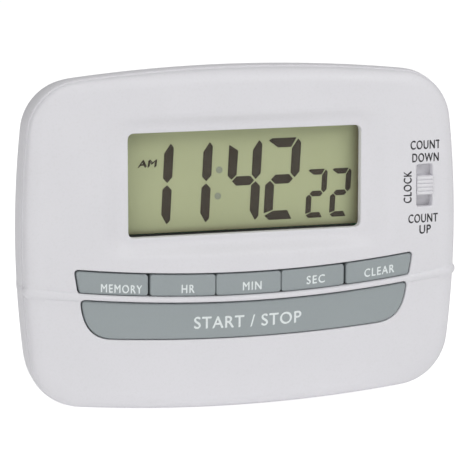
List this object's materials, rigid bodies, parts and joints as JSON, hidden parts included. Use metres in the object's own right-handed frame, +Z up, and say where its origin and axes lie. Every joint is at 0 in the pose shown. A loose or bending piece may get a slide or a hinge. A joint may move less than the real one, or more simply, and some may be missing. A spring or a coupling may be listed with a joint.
{
  "type": "lab timer",
  "caption": "Digital lab timer: crowned plastic case with a wide LCD, a row of keys above one long key, a slide switch, and a fold-out stand, battery door and magnets on the back.",
  "frame": {"origin": "the middle of the flat back face, midway between the sides and between the top and the bottom", "axes": "+Z up, +X to the right of someone facing the display, and the display faces -Y"},
  "size_m": [0.0952, 0.0224, 0.0724],
  "materials": {
    "case_white": "white moulded ABS, satin",
    "key_grey": "grey-green moulded ABS, satin",
    "clear_window": "clear moulded acrylic, polished",
    "lcd_glass": "thin display glass with polarising film",
    "lcd_reflector": "olive reflective backing film",
    "inner_plastic": "white moulded ABS, unpolished",
    "strip_rubber": "layered conductive silicone",
    "keypad_rubber": "moulded silicone",
    "black_plastic": "black moulded plastic and epoxy",
    "board_green": "glass-epoxy board with green solder mask",
    "steel": "nickel-plated steel",
    "buzzer_brass": "rolled brass sheet",
    "buzzer_ceramic": "silvered piezo ceramic",
    "wire_red": "red PVC insulation",
    "wire_black": "black PVC insulation",
    "battery_jacket": "plain printed steel jacket",
    "magnet_ferrite": "sintered ferrite"
  },
  "bodies": {
    "case": {"front_shell": "case_white", "rear_shell": "case_white", "case_screw_top_left": "steel", "case_screw_top_right": "steel", "case_screw_bottom_left": "steel", "case_screw_bottom_right": "steel", "display_window": "clear_window", "lcd_front_glass": "lcd_glass", "lcd_rear_glass": "lcd_glass", "lcd_reflector": "lcd_reflector", "display_frame": "inner_plastic", "contact_strip": "strip_rubber", "keypad_mat": "keypad_rubber", "switch_body": "steel", "circuit_board": "board_green", "chip_cover": "black_plastic", "quartz_crystal": "steel", "buzzer_disc": "buzzer_brass", "buzzer_ceramic": "buzzer_ceramic", "board_screw_1": "steel", "board_screw_2": "steel", "board_screw_3": "steel", "board_screw_4": "steel", "battery_lead_red": "wire_red", "battery_lead_black": "wire_black", "buzzer_lead_red": "wire_red", "buzzer_lead_black": "wire_black", "battery_cell": "battery_jacket", "battery_spring": "steel", "battery_plate": "steel", "stand_pin": "steel", "left_magnet": "magnet_ferrite", "right_magnet": "magnet_ferrite"},
    "memory_key_body": {"memory_key": "key_grey"},
    "hour_key_body": {"hour_key": "key_grey"},
    "minute_key_body": {"minute_key": "key_grey"},
    "second_key_body": {"second_key": "key_grey"},
    "clear_key_body": {"clear_key": "key_grey"},
    "start_stop_key_body": {"start_stop_key": "key_grey"},
    "mode_switch_body": {"switch_knob": "case_white", "switch_slider": "black_plastic"},
    "battery_door_body": {"battery_door": "case_white"},
    "stand_body": {"fold_out_stand": "case_white"}
  },
  "joints": [
    {"name": "memory_key_press", "type": "slide", "parent": "case", "child": "memory_key_body", "axis": [0, 1, 0], "range_m": [0, 0.0008], "stiffness_N_per_m": 1500},
    {"name": "hour_key_press", "type": "slide", "parent": "case", "child": "hour_key_body", "axis": [0, 1, 0], "range_m": [0, 0.0008], "stiffness_N_per_m": 1500},
    {"name": "minute_key_press", "type": "slide", "parent": "case", "child": "minute_key_body", "axis": [0, 1, 0], "range_m": [0, 0.0008], "stiffness_N_per_m": 1500},
    {"name": "second_key_press", "type": "slide", "parent": "case", "child": "second_key_body", "axis": [0, 1, 0], "range_m": [0, 0.0008], "stiffness_N_per_m": 1500},
    {"name": "clear_key_press", "type": "slide", "parent": "case", "child": "clear_key_body", "axis": [0, 1, 0], "range_m": [0, 0.0008], "stiffness_N_per_m": 1500},
    {"name": "start_stop_key_press", "type": "slide", "parent": "case", "child": "start_stop_key_body", "axis": [0, 1, 0], "range_m": [0, 0.0008], "stiffness_N_per_m": 2000},
    {"name": "mode_switch_slide", "type": "slide", "parent": "case", "child": "mode_switch_body", "axis": [0, 0, 1], "range_m": [-0.0023, 0.0023]},
    {"name": "battery_door_hinge", "type": "hinge", "parent": "case", "child": "battery_door_body", "pos_m": [0, 0, 0.01345], "axis": [-1, 0, 0], "range_deg": [0, 60]},
    {"name": "stand_hinge", "type": "hinge", "parent": "case", "child": "stand_body", "pos_m": [0, -0.0017, -0.0044], "axis": [1, 0, 0], "range_deg": [0, 50]}
  ]
}
